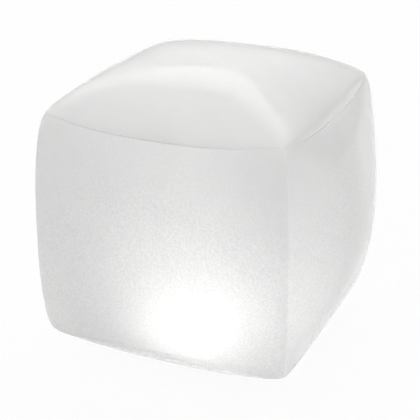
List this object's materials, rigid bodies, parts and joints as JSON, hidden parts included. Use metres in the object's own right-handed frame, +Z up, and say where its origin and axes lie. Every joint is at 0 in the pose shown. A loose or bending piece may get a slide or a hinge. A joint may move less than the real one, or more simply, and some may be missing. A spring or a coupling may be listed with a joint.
{
  "type": "led cube light",
  "caption": "Inflatable frosted cube light with bulged film panels, standing on a round battery light module with a domed lens, a push button underneath and an air valve.",
  "frame": {"origin": "on the floor, under the middle of the light module's foot rim", "axes": "+Z up, +Y to the back of the cube, +X to its right"},
  "size_m": [0.229, 0.229, 0.222],
  "materials": {
    "frosted_film": "frosted translucent vinyl film",
    "clear_film": "clear vinyl film",
    "collar_vinyl": "thick soft vinyl",
    "valve_vinyl": "soft translucent vinyl",
    "housing_plastic": "fine textured moulding",
    "lens_plastic": "frosted diffuser",
    "seal_rubber": "smooth",
    "screw_steel": "stainless",
    "board_laminate": "white solder mask",
    "led_package": "lit diode face",
    "component_plastic": "moulded",
    "reflector_plastic": "bright white",
    "battery_jacket": "satin printed jacket",
    "contact_metal": "nickel plate",
    "button_rubber": "silicone"
  },
  "bodies": {
    "light_module": {"base_housing": "housing_plastic", "lens_dome": "lens_plastic", "lens_seal": "seal_rubber", "module_screws": "screw_steel", "circuit_board": "board_laminate", "board_screws": "screw_steel", "leds": "led_package", "board_components": "component_plastic", "reflector": "reflector_plastic", "battery_1": "battery_jacket", "battery_2": "battery_jacket", "battery_3": "battery_jacket", "contact_plates": "contact_metal", "contact_leaves": "contact_metal", "tact_switch": "component_plastic", "button_retainer": "housing_plastic"},
    "inflated_cube": {"top_panel": "frosted_film", "bottom_panel": "frosted_film", "front_panel": "frosted_film", "back_panel": "frosted_film", "left_panel": "frosted_film", "right_panel": "frosted_film", "light_well": "clear_film", "well_collar": "collar_vinyl", "valve_base": "valve_vinyl", "valve_flap": "valve_vinyl", "plug_strap": "valve_vinyl"},
    "valve_plug": {"valve_plug": "valve_vinyl"},
    "battery_door": {"battery_door": "housing_plastic", "door_seal": "seal_rubber", "door_screws": "screw_steel"},
    "power_button": {"power_button": "button_rubber", "button_plunger": "housing_plastic", "switch_stem": "component_plastic"}
  },
  "joints": [
    {"name": "cube_lift", "type": "slide", "parent": "light_module", "child": "inflated_cube", "axis": [0, 0, 1], "range_m": [0, 0.06]},
    {"name": "battery_door_slide", "type": "slide", "parent": "light_module", "child": "battery_door", "axis": [0, 0, -1], "range_m": [0, 0.015]},
    {"name": "power_button_press", "type": "slide", "parent": "light_module", "child": "power_button", "axis": [0, 0, 1], "range_m": [0, 0.001], "stiffness_N_per_m": 1500, "springref_m": -0.0002},
    {"name": "valve_plug_pull", "type": "slide", "parent": "inflated_cube", "child": "valve_plug", "axis": [-0.2123, 0.2123, -0.9539], "range_m": [0, 0.012], "deforming": ["plug_strap"]}
  ]
}
